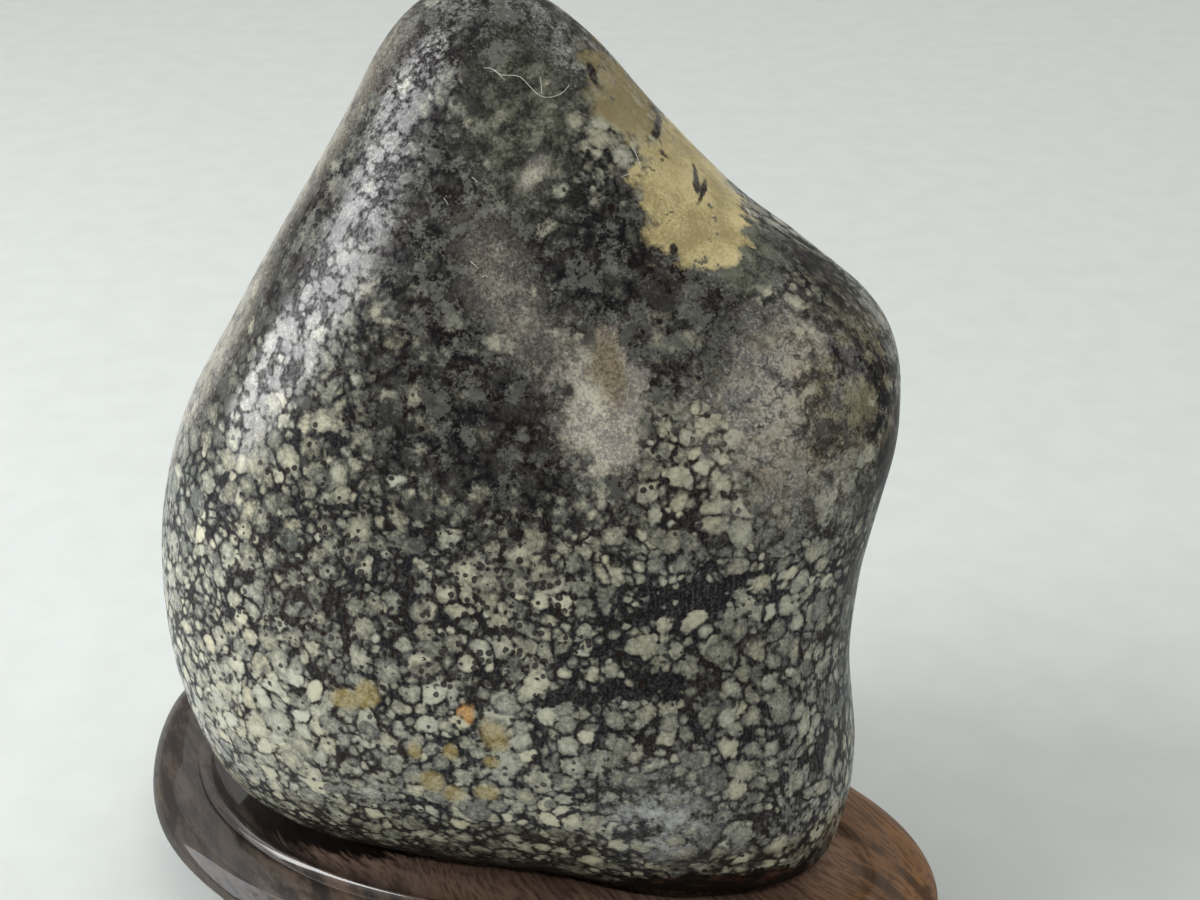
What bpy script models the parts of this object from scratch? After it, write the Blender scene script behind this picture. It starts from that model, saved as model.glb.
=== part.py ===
"""A viewing stone resting in its carved wooden stand.

Metres, +Z up. The origin is the middle of the stand's underside. X runs along the stand, and the stone's
show face looks along -Y. The stone is a river-worn pebble set on its edge, leaning back a little, and the
stand is one block of wood cut to the stone's foot.
"""
import math

import bmesh
import bpy
import numpy as np
from mathutils import Matrix

MM = 0.001

# Where the stone stands, mm and degrees
STONE_CENTRE = (1.4, 2.8, 60.5)          # middle of the stone's outline
STONE_LEAN = 8.0                         # top of the stone leans back
STONE_TURN = -10.0                       # right end of the stone comes forward
STONE_FLOOR = 8.4                        # height of the flat that it stands on
STONE_FLOOR_ROUNDING = 1.2               # how softly its underside meets that flat

# The stone's outline across its widest section: right and up of its centre, mm
STONE_OUTLINE = [
    (42.5, -0.5), (44.0, 9.5), (41.5, 20.2), (33.2, 27.4), (23.4, 34.0), (12.4, 44.3), (2.6, 53.9),
    (-6.0, 57.4), (-14.2, 54.0), (-21.0, 43.0), (-27.8, 31.0), (-35.4, 18.0), (-42.4, 4.5), (-45.5, -9.1),
    (-45.1, -22.5), (-42.2, -34.5), (-36.8, -44.3), (-28.5, -49.3), (-14.0, -51.2), (8.0, -51.6),
    (28.5, -51.9), (39.0, -48.6), (41.8, -39.0), (40.4, -25.0), (40.6, -12.0),
]
RIM_ROUNDING = 5.0                       # degrees of averaging that round the outline at the rim
HEART_ROUNDING = 35.0                    # degrees of averaging in the middle of the faces

# How thick the stone is and how full its edges are
FRONT_DEPTH = 29.0                       # mm, middle of the stone to its show face
BACK_DEPTH = 26.0                        # mm, middle of the stone to its back
TOP_THINNING = 0.34                      # share of the depth lost at the top
TOP_HEIGHT = 58.0                        # mm above the centre where that is reached
SHOULDER_THINNING = 0.16                 # share of the depth lost at the upper right
SHOULDER_PLACE = (38.0, 22.0)            # mm right and up of the centre, middle of that thinning
SHOULDER_SPREAD = 26.0                   # mm from there over which it fades
EDGE_FULLNESS = 2.35                     # 2 gives an ellipse in section, more is squarer
FOOT_FULLNESS = 0.35                     # added round the foot
FOOT_SPREAD = 0.6                        # rise of the bearing's sine over which that fades
UPPER_RIGHT_FULLNESS = 0.75              # added along the upper right edge
UPPER_RIGHT_BEARING = 42.0               # degrees up from the right, middle of that edge
UPPER_RIGHT_SPREAD = 29.0                # degrees over which it fades
RELIEF_FADE = 0.8                        # power by which the relief fades towards the rim
STONE_SUBDIVISIONS = 5                   # an icosphere of 5,120 triangles

# Swells and hollows of the show face: right, up, half width, half height, turn in degrees, rise, all mm
FRONT_RELIEF = {
    "hollow under the crown": (-3.5, 26.6, 13.9, 32.5, 2.6, -3.5),
    "groove down the middle": (3.0, 17.8, 5.0, 18.3, 27.5, -0.5),
    "thumb dimple": (8.8, 8.5, 4.5, 8.5, 4.0, -1.2),
    "shoulder boss": (33.0, 11.0, 11.0, 12.0, 0.0, 2.4),
    "waist below the shoulder": (30.0, -11.0, 15.0, 7.0, -8.0, -1.6),
    "left ridge": (-30.0, 18.6, 5.5, 31.4, -19.5, 0.9),
    "front panel": (-7.3, 21.2, 13.1, 14.5, 10.2, 2.7),
    "belly": (-10.0, -26.0, 26.0, 17.0, 0.0, 2.2),
    "right foot": (26.0, -40.0, 13.0, 12.0, 0.0, 1.4),
}

# Swells and hollows of the back, read the same way
BACK_RELIEF = {
    "flat of the back": (4.0, 2.0, 24.0, 20.0, 20.0, -2.4),
    "heel": (-20.0, -30.0, 18.0, 15.0, 0.0, 1.8),
    "nape": (-12.0, 34.0, 10.0, 14.0, 25.0, 1.4),
}

# The stand's widest edge, seen from above: right and back, mm
STAND_OUTLINE = [
    (48.9, -20.0), (46.8, -9.6), (40.6, -0.9), (29.5, 9.4), (11.5, 21.4), (-10.0, 30.4), (-30.0, 34.6),
    (-46.0, 32.4), (-54.4, 23.5), (-55.7, 11.0), (-54.6, 2.0), (-51.2, -8.2), (-44.6, -17.3),
    (-34.0, -26.2), (-18.0, -33.0), (4.0, -37.4), (24.0, -38.6), (39.0, -34.6), (46.5, -28.2),
]
STAND_OUTLINE_ROUNDING = 9.0             # degrees of averaging that round it
STAND_SEGMENTS = 96                      # sides of each ring of the stand

# The stand's section from its underside up and in to the recess: inset from the widest edge, height, mm
STAND_PROFILE = [
    (5.6, 0.0), (4.9, 0.5), (4.7, 2.0), (4.2, 4.0), (3.1, 6.0), (1.7, 7.6), (0.5, 8.8), (0.0, 9.8),
    (0.3, 10.8), (1.3, 11.9), (2.8, 12.8), (4.6, 13.4), (6.0, 13.6), (6.5, 13.3), (6.8, 13.8),
    (7.4, 14.3), (8.1, 14.2), (8.5, 13.6), (8.8, 13.0), (10.2, 12.3), (12.6, 11.7),
]
SEAT_CLEARANCE = 1.0                     # mm between the stone's foot and the wall of its seat
SEAT_GAP = 0.3                           # mm left between the stone and the bottom of its seat
SHARP_EDGE = 40.0                        # degrees between faces past which an edge is shaded sharp


# How an outline is rounded
AVERAGED_ANGLES = 13                     # readings taken about each angle
AVERAGE_TAPER = math.radians(75)         # angle whose squared cosine weighs the outermost reading


def wrapped(angle):
    """The same angle between minus and plus half a turn."""
    return np.mod(angle + math.pi, 2 * math.pi) - math.pi


def periodic_cubic(bearings, values, angle):
    """A smooth periodic curve through values given at rising bearings, read at each angle."""
    turn = 2 * math.pi
    knots = np.concatenate([bearings[-3:] - turn, bearings, bearings[:3] + turn])
    levels = np.concatenate([values[-3:], values, values[:3]])
    slopes = np.gradient(levels, knots)
    angle = wrapped(angle)
    place = np.clip(np.searchsorted(knots, angle) - 1, 0, len(knots) - 2)
    step = knots[place + 1] - knots[place]
    t = (angle - knots[place]) / step
    start = (1 + 2 * t) * (1 - t) ** 2 * levels[place] + t * (1 - t) ** 2 * step * slopes[place]
    end = t * t * (3 - 2 * t) * levels[place + 1] + t * t * (t - 1) * step * slopes[place + 1]
    return start + end


def outline_reach(points, angle, rounding):
    """Distance from the centre to a closed outline at each angle, averaged over a few degrees each way."""
    points = np.array(points)
    bearings = np.arctan2(points[:, 1], points[:, 0])
    order = np.argsort(bearings)
    distances = np.hypot(points[:, 0], points[:, 1])
    shares = np.linspace(-1, 1, AVERAGED_ANGLES)
    weights = np.cos(shares * AVERAGE_TAPER) ** 2
    reach = np.zeros_like(angle)
    for share, weight in zip(shares, weights):
        shifted = angle + share * math.radians(rounding)
        reach += weight * periodic_cubic(bearings[order], distances[order], shifted)
    return reach / weights.sum()


def bell(distance):
    """1 at no distance, falling smoothly to nothing."""
    return np.exp(-distance * distance)


def relief(rows, right, up):
    """Height of the swells and hollows at each place of a face: a sum of turned bell shapes."""
    total = np.zeros_like(right)
    for x, z, half_width, half_height, turn, rise in rows.values():
        cosine = math.cos(math.radians(turn))
        sine = math.sin(math.radians(turn))
        across = ((right - x) * cosine + (up - z) * sine) / half_width
        along = ((up - z) * cosine - (right - x) * sine) / half_height
        total += rise * bell(np.hypot(across, along))
    return total


def stone_surface(directions):
    """Places on the stone, in mm about its centre, for unit directions from the centre.

    Right and up are the outline's reach times the direction's share in the outline's plane, raised to
    2 / fullness. Depth is the face's depth times the direction's share out of that plane, raised the same.
    """
    out, back, up = directions.T
    angle = np.arctan2(up, out)
    side = np.clip(np.hypot(out, up), 0.0, 1.0)
    foot = bell((np.sin(angle) + 1) / FOOT_SPREAD)
    from_upper_right = wrapped(angle - math.radians(UPPER_RIGHT_BEARING)) / math.radians(UPPER_RIGHT_SPREAD)
    upper_right = bell(from_upper_right) * side ** 2
    power = 2 / (EDGE_FULLNESS + FOOT_FULLNESS * foot + UPPER_RIGHT_FULLNESS * upper_right)
    rim = outline_reach(STONE_OUTLINE, angle, RIM_ROUNDING)
    heart = outline_reach(STONE_OUTLINE, angle, HEART_ROUNDING)
    reach = (heart + (rim - heart) * side ** 2) * side ** power
    x = reach * np.cos(angle)
    z = reach * np.sin(angle)
    top = np.clip(z / TOP_HEIGHT, 0, 1) ** 1.5
    shoulder = bell(np.hypot(x - SHOULDER_PLACE[0], z - SHOULDER_PLACE[1]) / SHOULDER_SPREAD)
    thinning = 1 - TOP_THINNING * top - SHOULDER_THINNING * shoulder
    depth = np.where(back < 0, FRONT_DEPTH, BACK_DEPTH) * thinning * np.abs(back) ** power
    fade = np.abs(back) ** RELIEF_FADE
    raised = np.where(back < 0, relief(FRONT_RELIEF, x, z), relief(BACK_RELIEF, x, z)) * fade
    return np.stack([x, np.sign(back) * (depth + raised), z], axis=1)


def stone_placement():
    """The turn, lean and place that set the stone on its stand, for millimetres."""
    lean = Matrix.Rotation(math.radians(-STONE_LEAN), 4, "X")
    turn = Matrix.Rotation(math.radians(STONE_TURN), 4, "Z")
    return Matrix.Translation(STONE_CENTRE) @ turn @ lean


def settle(height):
    """Heights with everything under the stone's floor pressed softly flat onto it."""
    above = height - STONE_FLOOR
    return STONE_FLOOR + 0.5 * (above + np.sqrt(above ** 2 + STONE_FLOOR_ROUNDING ** 2))


def clear_scene():
    """Removes every object of the file."""
    for thing in list(bpy.data.objects):
        bpy.data.objects.remove(thing, do_unlink=True)


def new_collection(name):
    """A collection in the scene."""
    collection = bpy.data.collections.new(name)
    bpy.context.scene.collection.children.link(collection)
    return collection


def new_material(name, colour, roughness):
    """A Principled material of one colour."""
    material = bpy.data.materials.new(name)
    material.use_nodes = True
    shader = material.node_tree.nodes["Principled BSDF"]
    shader.inputs["Base Color"].default_value = (*colour, 1.0)
    shader.inputs["Roughness"].default_value = roughness
    shader.inputs["Metallic"].default_value = 0.0
    return material


def add_object(name, shape, collection, material=None):
    """An object of a finished bmesh, shaded smooth except at sharp edges."""
    mesh = bpy.data.meshes.new(name)
    bmesh.ops.recalc_face_normals(shape, faces=shape.faces)
    shape.to_mesh(mesh)
    shape.free()
    mesh.shade_smooth()
    mesh.set_sharp_from_angle(angle=math.radians(SHARP_EDGE))
    thing = bpy.data.objects.new(name, mesh)
    collection.objects.link(thing)
    if material:
        mesh.materials.append(material)
    return thing


def build_stone(collection):
    """The stone: an icosphere whose points are carried out to the pebble's surface."""
    shape = bmesh.new()
    bmesh.ops.create_icosphere(shape, subdivisions=STONE_SUBDIVISIONS, radius=1.0)
    directions = np.array([vertex.co.normalized() for vertex in shape.verts])
    placement = np.array(stone_placement())
    places = stone_surface(directions) @ placement[:3, :3].T + placement[:3, 3]
    places[:, 2] = settle(places[:, 2])
    for vertex, place in zip(shape.verts, places):
        vertex.co = place * MM
    material = new_material("polished spotted stone", (0.105, 0.104, 0.088), 0.3)
    return add_object("stone", shape, collection, material)


def stand_rings():
    """The stand's rings, underside first: the widest edge moved in by each inset and lifted to its height."""
    angle = np.linspace(0, 2 * math.pi, STAND_SEGMENTS, endpoint=False)
    reach = outline_reach(STAND_OUTLINE, angle, STAND_OUTLINE_ROUNDING)
    edge = np.stack([reach * np.cos(angle), reach * np.sin(angle)], axis=1)
    edge -= (edge.max(axis=0) + edge.min(axis=0)) / 2
    along = np.roll(edge, -1, axis=0) - np.roll(edge, 1, axis=0)
    outward = np.stack([along[:, 1], -along[:, 0]], axis=1)
    outward /= np.linalg.norm(outward, axis=1, keepdims=True)
    return [np.column_stack([edge - inset * outward, np.full(STAND_SEGMENTS, height)])
            for inset, height in STAND_PROFILE]


def build_stand_block(collection):
    """The stand before its seat is cut: a ring extruded up its profile, closed at the foot and the recess."""
    rings = stand_rings()
    shape = bmesh.new()
    place = shape.verts.layers.int.new("place on the ring")
    loop = bmesh.ops.create_circle(shape, segments=STAND_SEGMENTS, radius=1.0)["verts"]
    for number, vertex in enumerate(loop):
        vertex[place] = number
        vertex.co = rings[0][number] * MM
    edges = shape.edges[:]
    bmesh.ops.contextual_create(shape, geom=edges)
    for ring in rings[1:]:
        grown = bmesh.ops.extrude_edge_only(shape, edges=edges)["geom"]
        edges = [item for item in grown if isinstance(item, bmesh.types.BMEdge)]
        for vertex in [item for item in grown if isinstance(item, bmesh.types.BMVert)]:
            vertex.co = ring[vertex[place]] * MM
    bmesh.ops.contextual_create(shape, geom=edges)
    material = new_material("dark lacquered wood", (0.062, 0.033, 0.02), 0.28)
    return add_object("stand", shape, collection, material)


def cut_seat(stand, stone, cutters):
    """Cuts the seat: the stone's own shape, grown all round and lifted until a thin gap is left below."""
    cutter = bpy.data.objects.new("seat cutter", stone.data.copy())
    cutters.objects.link(cutter)
    cutter.location.z = (SEAT_CLEARANCE - SEAT_GAP) * MM
    cutter.hide_render = True
    cutter.display_type = "WIRE"
    grow = cutter.modifiers.new("clearance", "DISPLACE")
    grow.direction = "NORMAL"
    grow.mid_level = 0.0
    grow.strength = SEAT_CLEARANCE * MM
    cut = stand.modifiers.new("seat", "BOOLEAN")
    cut.operation = "DIFFERENCE"
    cut.solver = "EXACT"
    cut.object = cutter


def main():
    """Builds the stone and its stand."""
    clear_scene()
    pieces = new_collection("scholars_rock")
    cutters = new_collection("cutters")
    stone = build_stone(pieces)
    stand = build_stand_block(pieces)
    cut_seat(stand, stone, cutters)


main()
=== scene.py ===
"""Looks of a spotted viewing stone and its carved wooden stand, laid out as a Blender add-on."""
import math
from types import SimpleNamespace

import bpy
import numpy as np
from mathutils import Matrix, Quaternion, Vector


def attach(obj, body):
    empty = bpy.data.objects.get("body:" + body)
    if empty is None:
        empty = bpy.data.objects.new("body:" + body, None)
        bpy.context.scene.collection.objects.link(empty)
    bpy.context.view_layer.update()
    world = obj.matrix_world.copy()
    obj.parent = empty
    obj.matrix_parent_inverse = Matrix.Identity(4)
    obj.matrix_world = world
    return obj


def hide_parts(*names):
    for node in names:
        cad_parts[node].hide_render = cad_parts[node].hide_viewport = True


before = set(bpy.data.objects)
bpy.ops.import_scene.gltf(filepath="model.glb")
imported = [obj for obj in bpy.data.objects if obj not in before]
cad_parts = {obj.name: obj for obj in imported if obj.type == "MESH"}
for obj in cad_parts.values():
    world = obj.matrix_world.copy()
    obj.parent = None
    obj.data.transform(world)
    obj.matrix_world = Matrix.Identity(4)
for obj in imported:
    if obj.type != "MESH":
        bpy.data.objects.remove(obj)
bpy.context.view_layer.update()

bl_info = {
    "name": "Viewing Stone",
    "version": (1, 0, 0),
    "blender": (4, 5, 0),
    "location": "View3D > Sidebar > Viewing Stone",
    "description": "Builds a polished spotted stone, its wooden stand and a pale studio around them",
    "category": "Object",
}

MM = 0.001
TINY = 1e-9  # keeps the length of nothing from dividing
COLOUR_ENDING = "_colour"  # ending of the names of the colours among the settings

# Where the stone stands, mm and degrees
STONE_CENTRE = (1.4, 2.8, 60.5)  # middle of the stone's outline
STONE_LEAN = 8.0  # top of the stone leans back
STONE_TURN = -10.0  # right end of the stone comes forward
STONE_FLOOR = 8.4  # height of the flat that it stands on
STONE_FLOOR_ROUNDING = 1.2  # how softly its underside meets that flat

# The stone's outline across its widest section: right and up of its centre, mm
STONE_OUTLINE = [
    (42.5, -0.5), (44, 9.5), (41.5, 20.2), (33.2, 27.4), (23.4, 34), (12.4, 44.3), (2.6, 53.9),
    (-6, 57.4), (-14.2, 54), (-21, 43), (-27.8, 31), (-35.4, 18), (-42.4, 4.5), (-45.5, -9.1),
    (-45.1, -22.5), (-42.2, -34.5), (-36.8, -44.3), (-28.5, -49.3), (-14, -51.2), (8, -51.6),
    (28.5, -51.9), (39, -48.6), (41.8, -39), (40.4, -25), (40.6, -12),
]
RIM_ROUNDING = 5.0  # degrees of averaging that round the outline at the rim
HEART_ROUNDING = 35.0  # degrees of averaging in the middle of the faces
AVERAGED_ANGLES = 13  # readings taken about each angle of an outline
AVERAGE_TAPER = math.radians(75)  # angle whose squared cosine weighs the outermost reading

# How thick the stone is and how full its edges are
FRONT_DEPTH = 29.0  # mm, middle of the stone to its show face
BACK_DEPTH = 26.0  # mm, middle of the stone to its back
TOP_THINNING = 0.34  # share of the depth lost at the top
TOP_HEIGHT = 58.0  # mm above the centre where that is reached
TOP_CURVE = 1.5  # power by which it sets in
SHOULDER_THINNING = 0.16  # share of the depth lost at the upper right
SHOULDER_PLACE = (38, 22)  # mm right and up of the centre, middle of that thinning
SHOULDER_SPREAD = 26.0  # mm from there over which it fades
EDGE_FULLNESS = 2.35  # 2 gives an ellipse in section, more is squarer
FOOT_FULLNESS = 0.35  # added round the foot
FOOT_SPREAD = 0.6  # rise of the bearing's sine over which that fades
UPPER_RIGHT_FULLNESS = 0.75  # added along the upper right edge
UPPER_RIGHT_BEARING = 42.0  # degrees up from the right, middle of that edge
UPPER_RIGHT_SPREAD = 29.0  # degrees over which it fades
RELIEF_FADE = 0.8  # power by which the relief fades towards the rim

# Swells and hollows: right, up, half width, half height, turn in degrees, rise, all mm
FRONT_RELIEF = {
    "hollow under the crown": (-3.5, 26.6, 13.9, 32.5, 2.6, -3.5),
    "groove down the middle": (3, 17.8, 5, 18.3, 27.5, -0.5),
    "thumb dimple": (8.8, 8.5, 4.5, 8.5, 4, -1.2),
    "shoulder boss": (33, 11, 11, 12, 0, 2.4),
    "waist below the shoulder": (30, -11, 15, 7, -8, -1.6),
    "left ridge": (-30, 18.6, 5.5, 31.4, -19.5, 0.9),
    "front panel": (-7.3, 21.2, 13.1, 14.5, 10.2, 2.7),
    "belly": (-10, -26, 26, 17, 0, 2.2),
    "right foot": (26, -40, 13, 12, 0, 1.4),
}
BACK_RELIEF = {
    "flat of the back": (4, 2, 24, 20, 20, -2.4),
    "heel": (-20, -30, 18, 15, 0, 1.8),
    "nape": (-12, 34, 10, 14, 25, 1.4),
}
STONE_GRID = 116  # squares along each edge of the six patches that cover the stone

# Fine unevenness that polishing leaves: size of the waves and their height, mm
POLISH_WAVES = ((11, 0.16), (4.5, 0.05), (1.9, 0.018))
POLISH_SEED = 11
CHIPPED_EDGE = (27, -27, 20.5)  # mm, middle of the rough lower edge
CHIPPED_REACH = (11, 7, 2.6)  # mm, how far it runs each way
CHIPPED_WAVES = ((2.6, 0.55), (1.1, 0.3))
CHIPPED_SEED = 31

# Patches of the stone, mm: middle, reach each way, turn in degrees seen from the front, raggedness, softness
STONE_PATCHES = {
    "cloud": [
        ((-6, -11, 94), (11, 20, 15), -12, 0.5, 0.5), ((-19, -4, 98), (9, 16, 17), -24, 0.4, 0.5),
        ((-2, -21, 77), (12, 16, 10), 0, 0.6, 0.5), ((11, -13, 92), (9, 14, 8), -20, 0.6, 0.4),
        ((22, -19, 86), (7, 12, 7), 30, 0.6, 0.5), ((-2, 2, 113), (15, 16, 7), 0, 0.5, 0.5),
    ],
    "polished ridge": [((-21, -9, 88), (6.5, 16, 26), -28, 0.3, 0.6)],
    # Painted reflection: a pale band of the floor's reflection along the left rim
    "painted rim reflection": [
        ((-24, 8, 95.5), (6, 7, 20), -31, 0.4, 0.4), ((-35.5, 2, 74.5), (4.5, 7, 16), -27, 0.4, 0.4),
    ],
    "green crown": [((1.8, -4, 106), (6, 12, 9), 0, 0.8, 0.5)],
    "green end": [((26.2, -8.5, 91.4), (3.6, 7, 2.6), 20, 0.4, 0.4)],
    "pale streak": [((0.6, -14.9, 88.5), (3, 8, 8.5), 30, 1, 0.7)],
    "pale scuff": [((2.8, -8.2, 100.7), (1, 4, 1.9), -48, 0.5, 0.5)],
    "thumb dimple": [((9.9, -20.5, 79.4), (4.4, 8, 7.8), 4, 0.75, 0.3)],
    "ochre shadow": [((10.6, -18.4, 82.8), (1.8, 5, 3.6), 10, 0.4, 0.6)],
    "grey shoulder": [((31.5, -16.5, 77), (9, 12, 10), 0, 0.8, 0.5)],
    "olive shoulder": [((37.2, -14.5, 78.5), (6, 11, 8), 0, 0.7, 0.45)],
    "brown rim": [((42.5, -8, 76.5), (3.4, 12, 9), 0, 0.5, 0.5)],
    # Painted shade on the upper right edge and the right rim, where the surface turns away
    "painted edge shade": [
        ((35, -3, 87), (7.5, 8, 3.6), 18, 0.6, 0.4), ((43, -10, 67), (3, 9, 8), 0, 0.5, 0.5),
    ],
    "dark blot": [((37, -13.7, 81.3), (2.2, 5, 1.5), -20, 0.7, 0.4)],
    "clear spots": [((20.5, -21, 73), (8, 10, 7.5), 20, 0.5, 0.4)],
    "bare band": [
        ((18.6, -26.5, 58.6), (7.5, 9, 2.4), 10, 0.5, 0.4), ((13.5, -29, 48.8), (10.5, 9, 1.6), 6, 0.4, 0.45),
    ],
    "specks": [((-10, -24, 57), (20, 16, 9.5), 0, 0.5, 0.4)],
    "dim right": [((42, -10, 50), (6, 14, 26), 0, 0.4, 0.6)],
    "dim left": [((-17.5, -21.5, 61), (13, 14, 11), 0, 0.4, 0.6)],
    "dim flank": [((-36, -2, 74), (6, 16, 22), -22, 0.4, 0.6)],
    "dim foot": [((26, -26, 36), (17, 14, 17), 0, 0.4, 0.6)],
    "white bloom": [((17, -30.5, 31), (6, 8, 6.5), 0, 0.8, 0.6)],
    "rusty edge": [((25, -24, 17), (14, 9, 5), -3, 0.3, 0.16)],
    "creamy flank": [((-30, -20.5, 38), (9.5, 12, 7), -20, 0.5, 0.5)],
    "cream": [
        ((20, -2.7, 97.2), (5.7, 16, 7.3), 40, 0.35, 0.14), ((21.8, -9.5, 94), (4.4, 7, 3.2), 0, 0.24, 0.12),
    ],
    "cream tongue": [((12.8, 2, 106), (2.3, 10, 5.6), 40, 0.8, 0.4)],
    "mark in the cream": [
        ((16.2, 1.9, 102.5), (0.9, 4, 0.5), 20, 0.9, 0.4), ((21.1, -3, 97), (1, 4, 0.34), 35, 0.9, 0.4),
        ((9.1, 1.6, 108.9), (0.35, 4, 1), 32, 0.6, 0.4), ((17.8, -11.1, 93.3), (0.45, 4, 0.5), 0, 0.7, 0.4),
        ((20.5, -2.5, 97.8), (0.3, 4, 0.9), 10, 0.8, 0.4),
    ],
    "orange": [((-5.1, -28.4, 45.2), (0.8, 3, 1.1), 20, 0.8, 0.4)],
    "yellow": [
        ((-7, -28.5, 40), (0.9, 3, 1.1), 0, 0.3, 0.35), ((-11.1, -27.9, 39.5), (0.9, 3, 1.1), 0, 0.3, 0.35),
        ((-2.3, -29.2, 38.9), (0.9, 3, 0.8), 0, 0.3, 0.35), ((-2, -29.1, 42.6), (1.3, 3, 2), 30, 0.3, 0.4),
        ((-9.2, -27.9, 35.2), (1.4, 3, 1.5), 0, 0.3, 0.35), ((-6.8, -28, 33.6), (1.3, 3, 1.3), 0, 0.3, 0.35),
        ((-3.1, -28.7, 34.3), (1.3, 3, 1.3), 0, 0.3, 0.35), ((-19, -25.8, 45), (1.5, 4, 1.3), 0, 0.3, 0.3),
        ((-16.4, -26.3, 46.2), (1.4, 4, 1.7), -20, 0.3, 0.3),
    ],
}
RAGGEDNESS = 4.0  # shares of its reach by which a fully ragged patch's edge strays with the rough noise

# Spots, smallest first: spacing in mm, fill, softness, width of the dark line, fraying and paleness
SPOT_SIZES = ((1.35, 0.5, 0.1, 0.085, 0.1, 0.05), (2.6, 0.5, 0.06, 0.07, 0.09, 0.16),
              (3.9, 0.33, 0.045, 0.06, 0.07, 0.11))
SPOT_UNIT = 2.6  # mm, the spacing that the setting of the spots' size stands for
SPOT_UNEVENNESS = 0.9  # how far the spots stray from even spacing
SPOT_RADII = (0.7, 1.3)  # smallest and largest spot, as shares of the fill
SPOT_ROUNDING = 0.1  # how softly a spot bends where it is pressed by the next
SPOT_DOMING = 2.6  # how fast a spot grows pale from its edge inwards
CLOUD_FRAYING = 2.5  # how much more the spots fray in the clouds
CLOUD_SOFTENING = 1.8  # how much softer their edges are there

# What patches do to the spots: how much fuller they make them, and how much paler
CROWDING = {"bare band": -0.3, "creamy flank": 0.12}
PALENESS = {"creamy flank": 0.16, "dim left": -0.14, "dim flank": -0.3, "dim foot": -0.12,
            "dim right": -0.4, "clear spots": 0.1}
GRAIN_TILT_AXIS = (1, 2, 3)  # the stone's fine grain is laid out aslant to its faces
GRAIN_TILT = 0.9  # radians

# The stand's widest edge, seen from above: right and back, mm
STAND_OUTLINE = [
    (48.9, -20), (46.8, -9.6), (40.6, -0.9), (29.5, 9.4), (11.5, 21.4), (-10, 30.4), (-30, 34.6),
    (-46, 32.4), (-54.4, 23.5), (-55.7, 11), (-54.6, 2), (-51.2, -8.2), (-44.6, -17.3),
    (-34, -26.2), (-18, -33), (4, -37.4), (24, -38.6), (39, -34.6), (46.5, -28.2),
]
STAND_OUTLINE_ROUNDING = 9.0  # degrees of averaging that round it
STAND_SEGMENTS = 480  # places round each ring of the stand
STAND_STEPS = 5  # rings laid between two points of the section

# The stand's section from its underside up to the recess: inset from the widest edge, height, mm
STAND_PROFILE = [
    (5.6, 0), (5.1, 0.15), (4.85, 0.6), (4.7, 2), (4.2, 4), (3.1, 6), (1.7, 7.6), (0.5, 8.8),
    (0, 9.8), (0.3, 10.8), (1.3, 11.9), (2.8, 12.8), (4.6, 13.4), (5.7, 13.62), (6.15, 13.5),
    (6.4, 13.2), (6.65, 13.45), (6.95, 13.95), (7.4, 14.3), (7.85, 14.22), (8.2, 13.8), (8.45, 13.35),
    (8.9, 12.95),
]
RECESS_RINGS = 16  # rings between the lip and the seat
RECESS_CURVE = 0.7  # power of the recess's slope, 1 being straight
SEAT_EDGE_HEIGHT = 11.7  # mm, where the recess ends at the seat
SEAT_CLEARANCE = 1.0  # mm between the stone's foot and the edge of its seat
SEAT_BOTTOM = 8.2  # mm, height of the seat's middle
SEAT_RINGS = 14  # rings from the seat's edge to its middle
SEAT_SQUARENESS = 5.0  # power of the seat's bowl
FOOT_BEARINGS = 90  # readings of the stone's foot round its middle
FOOT_EASING = 0.1  # mm by which averaging may draw a reading in
SEAT_EDGE_RISE = 0.8  # mm, how much higher the seat's edge is where the bead has faded
BEAD_FULLNESS = 1.6  # how widely it stands out in full before it fades
BEAD_RISE = 0.9  # mm, how far it stands over the plain slope that it sinks to
BEAD_ROOT = 1.0  # mm under that slope, below which the section stays as it is
BEAD_START = 4.6  # mm inset from which the bead belongs to the section
BEAD_BEARING = -108.0  # degrees, middle of the side where the bead stands out
BEAD_SPREAD = 48.0  # degrees over which it fades
CARVING_WAVES = ((17, 0.12), (6, 0.04))
CARVING_SEED = 51
CARVING_START = 1.0  # mm above the table from which the carving's waves begin
CARVING_FADE = 3.0  # mm over which they grow to their height
LACQUERED_LIP = (13.4, 13.8)  # mm, heights over which the lacquer grows thick
GRAIN_BEARING = -60.0  # degrees from the stand's long axis, the way the wood's grain runs

# Hairs of lint caught on the stone: each one's route, mm
LINT = (
    ((-2.9, -1.2, 110.4), (-1.7, -1.4, 110.5), (-0.9, -2, 109.7), (1.2, -2, 110), (2.3, -2.7, 108.8),
     (3.5, -3.4, 107.8), (4.7, -3.4, 107.8), (5.9, -2.9, 108.1), (6.7, -1.7, 108.9)),
    ((-1.7, -1.4, 110.5), (-0.6, -2.2, 109.6), (-0.3, -1.9, 109.2)),
    ((3.4, -3, 110.2), (3.6, -3.1, 109.2), (3.6, -3.3, 108)),
    ((-3.9, -8.2, 100.6), (-3.5, -8.4, 100.4), (-3.2, -8.5, 100)),
    ((-6.9, -9, 98.6), (-6.6, -9.2, 98.2), (-6.3, -9.4, 97.8)),
    ((-4, -13, 92.9), (-3.6, -13.3, 92.7), (-3, -13.4, 92.1)),
    ((-2.8, -13.9, 91.3), (-2.4, -14, 91.7), (-2, -13.9, 91.4)),
    ((12, -7.7, 100.3), (12.6, -7.4, 100.5), (13.3, -6.9, 100.6)),
    ((13.5, -4.5, 102.4), (14, -5.4, 101.6), (14.3, -6, 100.6)),
    ((22.9, 3.3, 96.5), (24.8, 3, 95), (26.5, 1.6, 93.6), (26.6, -1.1, 93.5), (27.9, -1.8, 92.6)),
    ((26.5, 1.6, 93.6), (29.3, 1.3, 91.6), (32.4, 1.1, 89.6), (34.4, 1.4, 88.2), (36.2, 2.3, 86.8)),
)
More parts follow.
